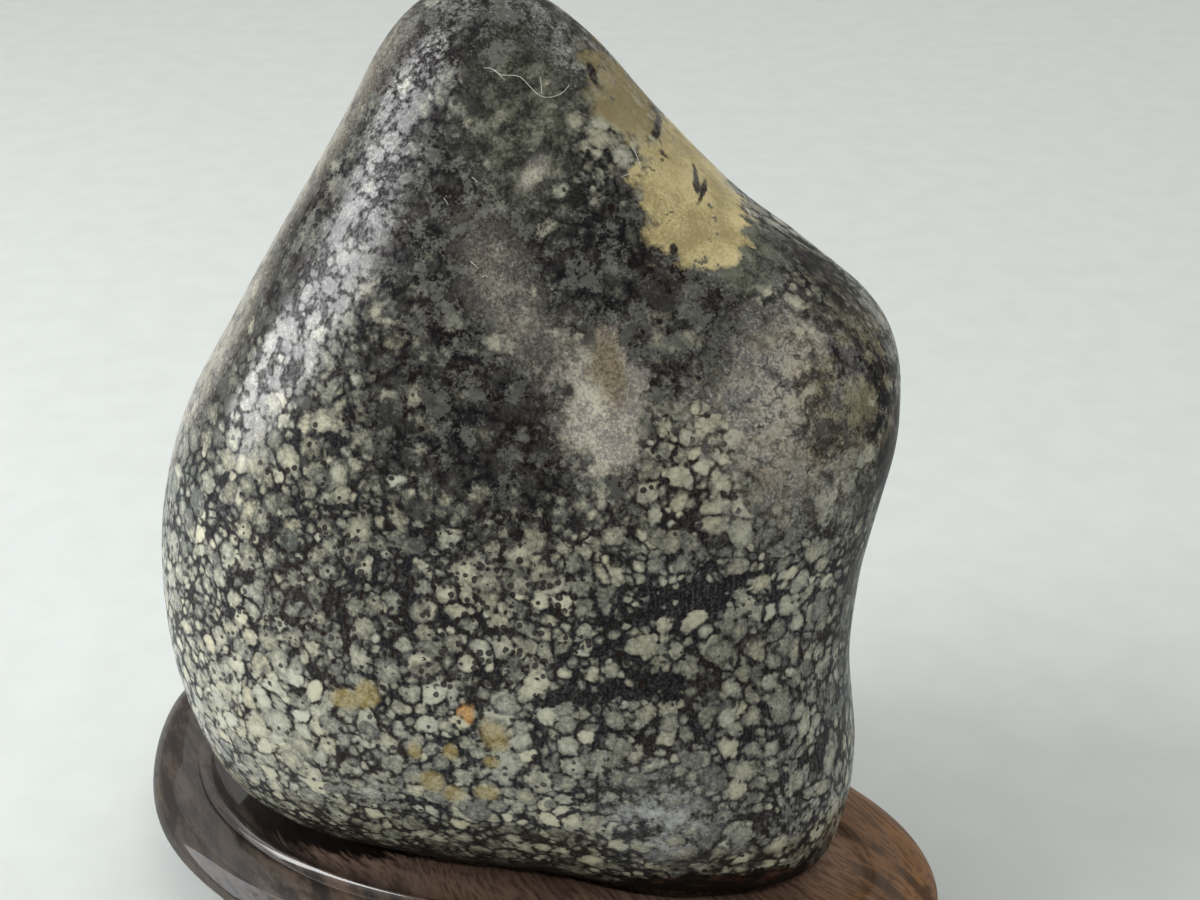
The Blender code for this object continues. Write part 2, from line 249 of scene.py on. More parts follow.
FIBRE_RADIUS = 0.035  # mm
FIBRE_STEPS = 10  # rings along each stretch of a hair
FIBRE_SIDES = 6  # places round each ring
FIBRE_EASE = 0.8  # how softly a hair rounds the places of its route
FIBRE_SIDEWAYS = (0.3, 1, 0.2)  # a way that no hair runs along

# The studio, mm: lights by place, size, colour and roll in degrees, and the camera of the photograph's view
FLOOR_REACH = 3000.0
LIGHT_TARGET = (0, 0, 55)
LIGHTS = {
    "key": ((-450, -75, 345), (250, 560), (0.97, 0.985, 1), -18),
    "top": ((-150, 650, 1300), (2400, 1800), (0.97, 1, 0.99), 0),
    "fill": ((480, -60, 300), (300, 300), (0.97, 0.99, 1), 0),
}
AIR_COLOUR = (1, 0.98, 0.94)
AIR_STRENGTH = 0.26
CAMERA_PITCH = 28.0  # degrees that the camera looks down
CAMERA_DISTANCE = 219.5
CAMERA_TARGET = (9.85, 2.25, 62)


def wrapped(angle):
    """The same angle between minus and plus half a turn."""
    return np.mod(angle + math.pi, 2 * math.pi) - math.pi


def periodic_cubic(bearings, values, angle):
    """A smooth periodic curve through values given at rising bearings, read at each angle."""
    turn = 2 * math.pi
    knots = np.concatenate([bearings[-3:] - turn, bearings, bearings[:3] + turn])
    levels = np.concatenate([values[-3:], values, values[:3]])
    slopes = np.gradient(levels, knots)
    angle = wrapped(angle)
    place = np.clip(np.searchsorted(knots, angle) - 1, 0, len(knots) - 2)
    step = knots[place + 1] - knots[place]
    t = (angle - knots[place]) / step
    start = (1 + 2 * t) * (1 - t) ** 2 * levels[place] + t * (1 - t) ** 2 * step * slopes[place]
    end = t * t * (3 - 2 * t) * levels[place + 1] + t * t * (t - 1) * step * slopes[place + 1]
    return start + end


def outline_reach(points, angle, rounding):
    """Distance from the centre to a closed outline at each angle, averaged over a few degrees each way."""
    points = np.array(points)
    bearings = np.arctan2(points[:, 1], points[:, 0])
    order = np.argsort(bearings)
    distances = np.hypot(points[:, 0], points[:, 1])
    shares = np.linspace(-1, 1, AVERAGED_ANGLES)
    weights = np.cos(shares * AVERAGE_TAPER) ** 2
    reach = np.zeros_like(angle)
    for share, weight in zip(shares, weights):
        shifted = angle + share * math.radians(rounding)
        reach += weight * periodic_cubic(bearings[order], distances[order], shifted)
    return reach / weights.sum()


def bell(distance):
    """1 at no distance, falling smoothly to nothing."""
    return np.exp(-distance * distance)


def relief(rows, right, up):
    """Height of the swells and hollows at each place of a face: a sum of turned bell shapes."""
    total = np.zeros_like(right)
    for x, z, half_width, half_height, turn, rise in rows.values():
        cosine = math.cos(math.radians(turn))
        sine = math.sin(math.radians(turn))
        across = ((right - x) * cosine + (up - z) * sine) / half_width
        along = ((up - z) * cosine - (right - x) * sine) / half_height
        total += rise * bell(np.hypot(across, along))
    return total


def stone_surface(directions):
    """Places on the stone, in mm about its centre, for unit directions from the centre.

    Right and up are the outline's reach times the direction's share in the outline's plane, raised to
    2 / fullness. Depth is the face's depth times the direction's share out of that plane, raised the same.
    """
    out, back, up = directions.T
    angle = np.arctan2(up, out)
    side = np.clip(np.hypot(out, up), 0.0, 1.0)
    foot = bell((np.sin(angle) + 1) / FOOT_SPREAD)
    from_upper_right = wrapped(angle - math.radians(UPPER_RIGHT_BEARING)) / math.radians(UPPER_RIGHT_SPREAD)
    upper_right = bell(from_upper_right) * side ** 2
    power = 2 / (EDGE_FULLNESS + FOOT_FULLNESS * foot + UPPER_RIGHT_FULLNESS * upper_right)
    rim = outline_reach(STONE_OUTLINE, angle, RIM_ROUNDING)
    heart = outline_reach(STONE_OUTLINE, angle, HEART_ROUNDING)
    reach = (heart + (rim - heart) * side ** 2) * side ** power
    x = reach * np.cos(angle)
    z = reach * np.sin(angle)
    top = np.clip(z / TOP_HEIGHT, 0, 1) ** TOP_CURVE
    shoulder = bell(np.hypot(x - SHOULDER_PLACE[0], z - SHOULDER_PLACE[1]) / SHOULDER_SPREAD)
    thinning = 1 - TOP_THINNING * top - SHOULDER_THINNING * shoulder
    depth = np.where(back < 0, FRONT_DEPTH, BACK_DEPTH) * thinning * np.abs(back) ** power
    fade = np.abs(back) ** RELIEF_FADE
    raised = np.where(back < 0, relief(FRONT_RELIEF, x, z), relief(BACK_RELIEF, x, z)) * fade
    return np.stack([x, np.sign(back) * (depth + raised), z], axis=1)


def turned_to_place(places):
    """Places about the stone's centre leaned back about X, turned about Z and moved to where it stands."""
    lean = -math.radians(STONE_LEAN)
    turn = math.radians(STONE_TURN)
    x, y, z = places.T
    y, z = y * math.cos(lean) - z * math.sin(lean), y * math.sin(lean) + z * math.cos(lean)
    x, y = x * math.cos(turn) - y * math.sin(turn), x * math.sin(turn) + y * math.cos(turn)
    return np.stack([x, y, z], axis=1) + STONE_CENTRE


def settled(height):
    """Heights with everything under the stone's floor pressed softly flat onto it."""
    above = height - STONE_FLOOR
    return STONE_FLOOR + 0.5 * (above + np.sqrt(above ** 2 + STONE_FLOOR_ROUNDING ** 2))


def lattice_value(cells, seed):
    """A number from -1 to 1 for each whole-numbered cell: its indices times large primes, folded together."""
    i, j, k = cells.T.astype(np.int64)
    mixed = (i * 73856093) ^ (j * 19349663) ^ (k * 83492791) ^ (seed * 2654435761)
    mixed = (mixed ^ (mixed >> 13)) * 1274126177 % 4294967296
    return (mixed % 65536) / 32767.5 - 1.0


def soft_noise(places, size, seed):
    """Smooth random waves of one size: corner values of a cubic lattice blended by smoothstep."""
    scaled = places / size
    corner = np.floor(scaled)
    t = scaled - corner
    t = t * t * (3 - 2 * t)
    total = np.zeros(len(places))
    for step in np.ndindex(2, 2, 2):
        share = np.prod(np.where(np.array(step) == 1, t, 1 - t), axis=1)
        total += share * lattice_value(corner + step, seed)
    return total


def waves(places, rows, seed):
    """Height of several sizes of waves laid over each other."""
    return sum(height * soft_noise(places, size, seed + n) for n, (size, height) in enumerate(rows))


def cube_patches(count):
    """Unit directions over a sphere as six square grids, each a function of two angles, with their quads."""
    step = np.linspace(-math.pi / 4, math.pi / 4, count + 1)
    a, b = np.meshgrid(np.tan(step), np.tan(step), indexing="ij")
    ones = np.ones_like(a)
    sides = [(a, b, ones), (b, a, -ones), (ones, a, b), (-ones, b, a), (b, ones, a), (a, -ones, b)]
    directions = np.concatenate([np.stack(side, axis=-1).reshape(-1, 3) for side in sides])
    directions /= np.linalg.norm(directions, axis=1, keepdims=True)
    row = count + 1
    i, j = np.meshgrid(np.arange(count), np.arange(count), indexing="ij")
    first = (i * row + j).ravel()
    quads = np.stack([first, first + row, first + row + 1, first + 1], axis=1)
    quads = np.concatenate([quads + n * row * row for n in range(6)])
    _, kept, place = np.unique(np.round(directions, 6), axis=0, return_index=True, return_inverse=True)
    return directions[kept], place.ravel()[quads]


def grid_normals(places, quads):
    """A unit normal at each place: the sum of the crossed diagonals of the quads round it, or nothing."""
    crossed = np.cross(places[quads[:, 2]] - places[quads[:, 0]], places[quads[:, 3]] - places[quads[:, 1]])
    normals = np.zeros_like(places)
    for corner in range(4):
        np.add.at(normals, quads[:, corner], crossed)
    return normals / np.maximum(np.linalg.norm(normals, axis=1, keepdims=True), TINY)


def new_piece(name, places, faces):
    """A smooth-shaded object at the origin, made from places in mm and faces that point outwards."""
    mesh = bpy.data.meshes.new(name)
    mesh.from_pydata((places * MM).tolist(), [], faces)
    mesh.validate()
    mesh.shade_smooth()
    piece = bpy.data.objects.new(name, mesh)
    bpy.context.scene.collection.objects.link(piece)
    return piece


def stone_shape():
    """The stone's places in mm, with the waves of its polish and its rough lower edge, and its faces."""
    directions, quads = cube_patches(STONE_GRID)
    even = turned_to_place(stone_surface(directions))
    normals = grid_normals(even, quads)
    chipped = bell(np.linalg.norm((even - CHIPPED_EDGE) / CHIPPED_REACH, axis=1))
    chips = chipped * np.abs(waves(even, CHIPPED_WAVES, CHIPPED_SEED))
    height = waves(even, POLISH_WAVES, POLISH_SEED) - chips
    places = even + normals * height[:, None]
    places[:, 2] = settled(places[:, 2])
    return places, quads


def smooth_section(points, steps):
    """Inset and height along the stand's section: an even cubic through the points, a few steps each."""
    points = np.array(points)
    before = np.concatenate([points[:1], points[:-1]])[:-1]
    after = np.concatenate([points[1:], points[-1:]])[1:]
    t = np.linspace(0, 1, steps, endpoint=False)[None, :, None]
    start, end = points[:-1, None], points[1:, None]
    leave = (points[1:] - before)[:, None] / 2
    arrive = (after - points[:-1])[:, None] / 2
    curve = ((1 + 2 * t) * (1 - t) ** 2 * start + t * (1 - t) ** 2 * leave
             + t * t * (3 - 2 * t) * end + t * t * (t - 1) * arrive)
    return np.concatenate([curve.reshape(-1, 2), points[-1:]])


def stone_foot(places, centre, angle):
    """How far the stone's foot reaches from a centre at each angle, below the edge of its seat.

    The farthest place of each narrow wedge is taken, and those readings are joined by a periodic curve.
    """
    low = places[places[:, 2] < SEAT_EDGE_HEIGHT + SEAT_EDGE_RISE][:, :2] - centre
    bearing = np.arctan2(low[:, 1], low[:, 0])
    wedge = ((bearing + math.pi) / (2 * math.pi) * FOOT_BEARINGS).astype(int) % FOOT_BEARINGS
    farthest = np.zeros(FOOT_BEARINGS)
    np.maximum.at(farthest, wedge, np.hypot(low[:, 0], low[:, 1]))
    middles = (np.arange(FOOT_BEARINGS) + 0.5) / FOOT_BEARINGS * 2 * math.pi - math.pi
    eased = (np.roll(farthest, 1) + 2 * farthest + np.roll(farthest, -1)) / 4
    return periodic_cubic(middles, np.maximum(eased, farthest - FOOT_EASING), angle)


def tube_quads(rings, count):
    """Quads between rings of places that are numbered ring by ring, each ring closed on itself."""
    ring, place = np.meshgrid(np.arange(rings - 1), np.arange(count), indexing="ij")
    following = (place + 1) % count
    return np.stack([ring * count + place, ring * count + following,
                     (ring + 1) * count + following, (ring + 1) * count + place], axis=-1).reshape(-1, 4)


def closing_fan(start, count, tip, below):
    """Triangles from a ring, whose places are numbered from start, to a point below or above it."""
    this = start + np.arange(count)
    following = np.roll(this, -1)
    pair = (following, this) if below else (this, following)
    return np.stack([*pair, np.full(count, tip)], axis=1)


def stand_shape(stone):
    """The stand's places in mm, its faces, and how far each place lies from the lip to the seat.

    Up to the lip each ring is the widest edge moved in by the section's inset. Over the recess the rings
    turn into the outline of the stone's foot, and in the seat they shrink to its middle along a bowl whose
    depth goes with the distance from the middle to a high power.
    """
    angle = np.linspace(0, 2 * math.pi, STAND_SEGMENTS, endpoint=False)
    reach = outline_reach(STAND_OUTLINE, angle, STAND_OUTLINE_ROUNDING)
    edge = np.stack([reach * np.cos(angle), reach * np.sin(angle)], axis=1)
    edge -= (edge.max(axis=0) + edge.min(axis=0)) / 2
    along = np.roll(edge, -1, axis=0) - np.roll(edge, 1, axis=0)
    outward = np.stack([along[:, 1], -along[:, 0]], axis=1)
    outward /= np.linalg.norm(outward, axis=1, keepdims=True)

    # The bead stands out where it is 1, and sinks to a plain slope where it is 0
    bead = BEAD_FULLNESS * bell(np.degrees(wrapped(angle - math.radians(BEAD_BEARING))) / BEAD_SPREAD)
    sunk = 1 - np.clip(bead, 0, 1)
    inset, height = smooth_section(STAND_PROFILE, STAND_STEPS).T
    plain = np.interp(inset, [BEAD_START, inset[-1]], [height.max() - BEAD_RISE, height[-1]])
    drop = (plain - height) * ((inset > BEAD_START) & (height > plain - BEAD_ROOT))
    around = edge - inset[:, None, None] * outward
    wall = np.dstack([around, height[:, None] + drop[:, None] * sunk])

    # The seat's edge follows the stone's foot
    lip = wall[-1]
    seat_edge = SEAT_EDGE_HEIGHT + SEAT_EDGE_RISE * sunk
    low = stone[stone[:, 2] < SEAT_EDGE_HEIGHT + SEAT_EDGE_RISE]
    centre = (low[:, :2].max(axis=0) + low[:, :2].min(axis=0)) / 2
    bearing = np.arctan2(lip[:, 1] - centre[1], lip[:, 0] - centre[0])
    foot = stone_foot(stone, centre, bearing) + SEAT_CLEARANCE
    seat = np.column_stack([foot * np.cos(bearing), foot * np.sin(bearing), seat_edge])
    seat[:, :2] += centre
    share = np.linspace(0, 1, RECESS_RINGS + 1)[1:, None, None]
    slope = lip + (seat - lip) * share
    slope[..., 2] = lip[:, 2] + (seat_edge - lip[:, 2]) * share[..., 0] ** RECESS_CURVE
    middle = np.array([*centre, SEAT_BOTTOM])
    share = np.linspace(1, 0, SEAT_RINGS + 1)[1:-1, None, None]
    bowl = middle + (seat - middle) * share
    bowl[..., 2] = SEAT_BOTTOM + (seat_edge - SEAT_BOTTOM) * share[..., 0] ** SEAT_SQUARENESS

    rings = np.concatenate([wall, slope, bowl])
    number, count = rings.shape[:2]
    places = np.concatenate([rings.reshape(-1, 3), [[0, 0, 0], middle]])
    quads = tube_quads(number, count)
    under = closing_fan(0, count, number * count, True)
    over = closing_fan((number - 1) * count, count, number * count + 1, False)
    carved = np.clip((places[:, 2] - CARVING_START) / CARVING_FADE, 0, 1)
    places += grid_normals(places, quads) * (waves(places, CARVING_WAVES, CARVING_SEED) * carved)[:, None]
    recess = np.clip(np.repeat(np.arange(number) - (len(wall) - 1), count) / RECESS_RINGS, 0, 1)
    return places, quads.tolist() + under.tolist() + over.tolist(), np.append(recess, [0, 1])


def lint_shape():
    """The places in mm and faces of the lint: each hair is a tube along a curve, pointed at both ends.

    The curve is the mean of the route's places, each weighed by a bell of how far along the route it lies.
    """
    turn = np.arange(FIBRE_SIDES) / FIBRE_SIDES * 2 * math.pi
    places, faces, first = [], [], 0
    for route in LINT:
        knots = np.array(route)
        t = np.linspace(0, len(knots) - 1, FIBRE_STEPS * (len(knots) - 1))
        share = bell((t[:, None] - np.arange(len(knots))[None, :]) / FIBRE_EASE)
        line = share @ knots / share.sum(axis=1, keepdims=True)
        along = np.gradient(line, axis=0)
        side = np.cross(along, FIBRE_SIDEWAYS)
        side /= np.linalg.norm(side, axis=1, keepdims=True)
        other = np.cross(along, side)
        other /= np.linalg.norm(other, axis=1, keepdims=True)
        ring = np.cos(turn)[:, None] * side[1:-1, None] + np.sin(turn)[:, None] * other[1:-1, None]
        places += [line[:1], (line[1:-1, None] + FIBRE_RADIUS * ring).reshape(-1, 3), line[-1:]]
        rings = len(line) - 2
        last = first + 1 + rings * FIBRE_SIDES
        faces += (tube_quads(rings, FIBRE_SIDES) + first + 1).tolist()
        faces += closing_fan(first + 1, FIBRE_SIDES, first, True).tolist()
        faces += closing_fan(last - FIBRE_SIDES, FIBRE_SIDES, last, False).tolist()
        first = last + 1
    return np.concatenate(places), faces


class Web:
    """Adds nodes to a tree and joins them. A value may be a number, a tuple or another node's output."""

    def __init__(self, tree):
        self.tree = tree
        self.added = 0

    def add(self, kind, inputs=None, **settings):
        """A node with its settings made and its inputs set or joined, laid out in short columns."""
        node = self.tree.nodes.new(kind)
        node.location = (200 * (self.added // 6), -230 * (self.added % 6))
        self.added += 1
        for name, value in settings.items():
            setattr(node, name, value)
        self.fill(node, inputs or {})
        return node

    def fill(self, node, values):
        """Joins outputs to a node's inputs, or sets the inputs' own values."""
        for name, value in values.items():
            socket = node.inputs[name]
            if isinstance(value, bpy.types.NodeSocket):
                self.tree.links.new(value, socket)
            elif isinstance(value, tuple) and socket.type == "RGBA":
                socket.default_value = (*value, 1)
            else:
                socket.default_value = value

    def maths(self, operation, *values, clamp=False):
        """A Math node's result."""
        node = self.add("ShaderNodeMath", dict(enumerate(values)), operation=operation, use_clamp=clamp)
        return node.outputs[0]

    def times(self, *values):
        """The product of two or more numbers."""
        product = values[0]
        for value in values[1:]:
            product = self.maths("MULTIPLY", product, value)
        return product

    def weigh(self, value, share, onto):
        """A value times a share, added onto another."""
        return self.maths("MULTIPLY_ADD", value, share, onto)

    def off_middle(self, value):
        """A noise counted from its middle."""
        return self.maths("SUBTRACT", value, 0.5)

    def most(self, *masks):
        """The largest of several masks."""
        largest = masks[0]
        for mask in masks[1:]:
            largest = self.maths("MAXIMUM", largest, mask)
        return largest

    def vector(self, operation, *values):
        """A Vector Math node's vector."""
        return self.add("ShaderNodeVectorMath", dict(enumerate(values)), operation=operation).outputs[0]

    def length(self, value):
        """A vector's length."""
        return self.add("ShaderNodeVectorMath", {0: value}, operation="LENGTH").outputs["Value"]

    def scaled(self, value, factor):
        """A vector times a number."""
        return self.add("ShaderNodeVectorMath", {0: value, "Scale": factor}, operation="SCALE").outputs[0]

    def stretched(self, place, *shares):
        """A place whose axes are each multiplied by a share. A small share draws a pattern out."""
        return self.vector("MULTIPLY", place, shares)

    def turned(self, place, angle, kind, **inputs):
        """A place turned about an axis."""
        return self.add("ShaderNodeVectorRotate", {"Vector": place, "Angle": angle, **inputs},
                        rotation_type=kind).outputs[0]

    def parts(self, value):
        """The three parts of a colour or of a place."""
        kind = "Color" if value.type == "RGBA" else "XYZ"
        return self.add("ShaderNodeSeparate" + kind, {0: value}).outputs

    def span(self, value, low, high, start=0.0, end=1.0):
        """The value carried smoothly from low to high onto start to end, and held there outside them."""
        return self.add("ShaderNodeMapRange",
                        {"Value": value, "From Min": low, "From Max": high, "To Min": start, "To Max": end},
                        interpolation_type="SMOOTHSTEP").outputs["Result"]

    def crease(self, noise, near, far, depth):
        """A line as strong as its depth where a noise passes its middle."""
        return self.span(self.maths("ABSOLUTE", self.off_middle(noise)), near, far, depth, 0)

    def between(self, share, start, end):
        """A number part of the way from start to end."""
        return self.add("ShaderNodeMix", {0: share, 2: start, 3: end}, data_type="FLOAT",
                        clamp_factor=True).outputs[0]

    def blend(self, share, under, over):
        """A colour laid over another by a share."""
        return self.add("ShaderNodeMix", {0: share, 6: under, 7: over}, data_type="RGBA",
                        clamp_factor=True).outputs[2]

    def noise(self, place, size, detail=2.0, roughness=0.5, output="Fac"):
        """Noise with features of about one size, in the place's units."""
        return self.add("ShaderNodeTexNoise", {"Vector": place, "Scale": 1 / size, "Detail": detail,
                                               "Roughness": roughness}).outputs[output]

    def shift(self, place, size, reach):
        """A vector that wanders smoothly about nothing, as far as half its reach each way."""
        noise = self.noise(place, size, 1, output="Color")
        return self.scaled(self.vector("SUBTRACT", noise, (0.5, 0.5, 0.5)), reach)

    def cells(self, place, size, feature="F1", uneven=1.0):
        """Cells of about one size: how far their middles are, and three random numbers for each."""
        found = self.add("ShaderNodeTexVoronoi", {"Vector": place, "Scale": 1 / size, "Randomness": uneven},
                         feature=feature).outputs
        return found["Distance"], found["Color"]

    def bump(self, height, strength, distance):
        """The surface's normal tilted by a height, with the bump's depth in mm."""
        return self.add("ShaderNodeBump", {"Height": height, "Strength": strength,
                                           "Distance": distance * MM}).outputs["Normal"]


def new_group(name, ins, outs):
    """A node group with named inputs, given as name, kind and default, and named outputs, and its web."""
    group = bpy.data.node_groups.new(name, "ShaderNodeTree")
    for title, kind, default in ins:
        socket = group.interface.new_socket(name=title, in_out="INPUT", socket_type=kind)
        socket.default_value = default
    for title, kind in outs:
        group.interface.new_socket(name=title, in_out="OUTPUT", socket_type=kind)
    web = Web(group)
    return group, web, web.add("NodeGroupInput").outputs, web.add("NodeGroupOutput")


FLOAT = "NodeSocketFloat"
VECTOR = "NodeSocketVector"


def patch_group():
    """Mask of a patch with a ragged edge: the length of the place about the patch's middle, turned about the
    depth axis and divided by its reach, roughened by a given noise and cut off at 1."""
    group, web, given, out = new_group(
        "ragged patch",
        [("Place", VECTOR, (0, 0, 0)), ("Middle", VECTOR, (0, 0, 0)), ("Reach", VECTOR, (5, 5, 5)),
         ("Turn", FLOAT, 0.0), ("Rough", FLOAT, 0.0), ("Raggedness", FLOAT, 0.5), ("Softness", FLOAT, 0.2)],
        [("Mask", FLOAT)])
    about = web.turned(web.vector("SUBTRACT", given["Place"], given["Middle"]), given["Turn"], "Y_AXIS")
    reach = web.length(web.vector("DIVIDE", about, given["Reach"]))
    edge = web.weigh(given["Rough"], given["Raggedness"], reach)
    low = web.maths("SUBTRACT", 1, given["Softness"])
    high = web.maths("ADD", 1, given["Softness"])
    web.fill(out, {"Mask": web.span(edge, low, high, 1, 0)})
    return group


def spots_group():
    """One size of round spots. Each cell holds a ball of its own radius, pressed flat where it meets the next
    one, and the surface cuts through the balls. Crowding swells the balls and Ruffle frays their edges."""
    group, web, given, out = new_group(
        "packed spots",
        [("Place", VECTOR, (0, 0, 0)), ("Size", FLOAT, 2.5), ("Fill", FLOAT, 0.5), ("Crowding", FLOAT, 0.0),
         ("Ruffle", FLOAT, 0.0), ("Softness", FLOAT, 0.04), ("Line", FLOAT, 0.05)],
        [("Inside", FLOAT), ("Shade", FLOAT), ("Tint", FLOAT), ("Depth", FLOAT)])
    small = web.scaled(given["Place"], web.maths("DIVIDE", 1, given["Size"]))
    nearest, chances = web.cells(small, 1, uneven=SPOT_UNEVENNESS)
    second, _ = web.cells(small, 1, "F2", SPOT_UNEVENNESS)
    swell, shade, tint = web.parts(chances)
    radius = web.times(given["Fill"], web.weigh(swell, SPOT_RADII[1] - SPOT_RADII[0], SPOT_RADII[0]))
    gap = web.maths("SUBTRACT", web.maths("ADD", radius, given["Crowding"]), nearest)
    apart = web.maths("SUBTRACT", second, nearest)
    pressed = web.maths("SUBTRACT", web.times(apart, 0.5), given["Line"])
    depth = web.maths("ADD", web.maths("SMOOTH_MIN", gap, pressed, SPOT_ROUNDING), given["Ruffle"])
    web.fill(out, {"Inside": web.span(depth, web.times(given["Softness"], -1), given["Softness"]),
                   "Shade": shade, "Tint": tint,
                   "Depth": web.maths("MULTIPLY", depth, SPOT_DOMING, clamp=True)})
    return group


def place_in_mm(web):
    """The surface's place in the object's own space, in millimetres."""
    return web.scaled(web.add("ShaderNodeTexCoord").outputs["Object"], 1 / MM)


def stone_masks(web, place, rough):
    """The mask of each named patch of the stone, which is the largest of its rows."""
    group = patch_group()

    def mask(middle, reach, turn, ragged, soft):
        return web.add("ShaderNodeGroup", {
            "Place": place, "Middle": middle, "Reach": reach, "Turn": math.radians(turn), "Rough": rough,
            "Raggedness": RAGGEDNESS * ragged, "Softness": soft}, node_tree=group).outputs["Mask"]

    return {name: web.most(*(mask(*row) for row in rows)) for name, rows in STONE_PATCHES.items()}


def inks(look):
    """The colours among some settings, by their names less the word colour."""
    names = [name for name in look.bl_rna.properties.keys() if name.endswith(COLOUR_ENDING)]
    return SimpleNamespace(**{name[:-len(COLOUR_ENDING)]: tuple(getattr(look, name)) for name in names})


def new_material(name):
    """A material, the web of its nodes and its Principled shader."""
    material = bpy.data.materials.new(name)
    material.use_nodes = True
    return material, Web(material.node_tree), material.node_tree.nodes["Principled BSDF"]


def stone_noises(web):
    """The places and noises that the stone's colour and gloss share. Two of the places wander a little, so
    that no two spots sit in a row and none is a true circle."""
    place = place_in_mm(web)
    near = web.shift(place, 1, 0.26)
    jittered = web.vector("ADD", place, near)
    wandered = web.vector("ADD", place, web.vector("ADD", web.shift(place, 7, 2.4), near))
    tilted = web.turned(place, GRAIN_TILT, "AXIS_ANGLE", Axis=GRAIN_TILT_AXIS)
    rows = {  # place, size in mm, detail and roughness
        "grain": (tilted, 0.36, 3, 0.8),
        "rough": (place, 2.6, 4, 0.62),
        "blotch": (place, 3.2, 2, 0.5),
        "patchy": (place, 4.2, 2, 0.5),
        "drift": (place, 5.5, 2, 0.6),
        "broad": (place, 15, 2, 0.55),
        "veins": (wandered, 3.6, 3, 0.6),
        "streaks": (web.stretched(place, 1, 1, 0.12), 0.3, 2, 0.6),
        "ledges": (web.stretched(place, 0.25, 1, 2.2), 1.6, 3, 0.6),
    }
    noises = SimpleNamespace(**{name: web.noise(*row) for name, row in rows.items()})
    noises.place, noises.jittered, noises.wandered = place, jittered, wandered
    noises.rough = web.off_middle(noises.rough)
    noises.fleck = web.weigh(noises.rough, 1.6, web.weigh(noises.grain, 0.75, 0.125))
    noises.powder = web.weigh(noises.rough, 0.8, noises.grain)
    return noises


def spotted_colour(web, look, ink, noises, masks, cloud):
    """Charcoal matrix full of spots and dark dots: its colour, and where the spots are."""
    grain, rough = noises.grain, noises.rough
    crowding = web.times(web.maths("SUBTRACT", noises.drift, 0.48), 0.55)
    for name, share in CROWDING.items():
        crowding = web.weigh(masks[name], share, crowding)
    matrix = web.blend(web.span(web.weigh(rough, 0.5, noises.broad), 0.42, 0.58), ink.matrix, ink.matrix_warm)
    colour = web.blend(web.times(web.span(grain, 0.42, 0.7), web.between(cloud, 0.55, 0.5)), matrix, ink.haze)

    # Each size of spots is laid over the smaller one. Grain, depth and a spot's own shade set how pale it is
    bead = web.maths("SUBTRACT", 0.52, web.cells(noises.wandered, 0.72)[0])
    common = web.weigh(web.off_middle(grain), 0.8, web.times(bead, 0.25))
    common = web.weigh(cloud, -0.4, common)
    for name, share in PALENESS.items():
        common = web.weigh(masks[name], share, common)
    ruffle = web.weigh(web.off_middle(grain), 0.9, bead)
    solid = web.times(cloud, 0.3)
    group = spots_group()
    for size, fill, soft, line, fray, lift in SPOT_SIZES:
        found = web.add("ShaderNodeGroup", {
            "Place": noises.wandered, "Size": size * look.spot_size / (SPOT_UNIT * MM), "Fill": fill,
            "Crowding": crowding, "Ruffle": web.times(ruffle, web.between(cloud, fray, fray * CLOUD_FRAYING)),
            "Softness": web.between(cloud, soft, soft * CLOUD_SOFTENING), "Line": line},
            node_tree=group).outputs
        rare = web.times(web.maths("POWER", found["Shade"], 12), web.between(cloud, 0.24, 0))
        pale = web.weigh(found["Shade"], 0.42, web.maths("ADD", common, lift))
        pale = web.weigh(found["Depth"], 0.45, web.maths("ADD", pale, rare))
        bright = web.blend(found["Tint"], ink.spot, ink.spot_cream)
        colour = web.blend(found["Inside"], colour, web.blend(web.span(pale, 0, 1.04), ink.spot_dim, bright))
        solid = web.most(found["Inside"], solid)

    # Dark dots, thick in one zone and thinner elsewhere
    away, chances = web.cells(noises.jittered, 0.85)
    here, swell, _ = web.parts(chances)
    dot = web.span(web.maths("SUBTRACT", web.weigh(swell, 0.2, 0.34), away), -0.04, 0.06)
    thick = web.maths("LESS_THAN", here, web.between(masks["specks"], 0.1, 0.62))
    return web.blend(web.times(dot, thick, 0.97), colour, ink.dot), solid


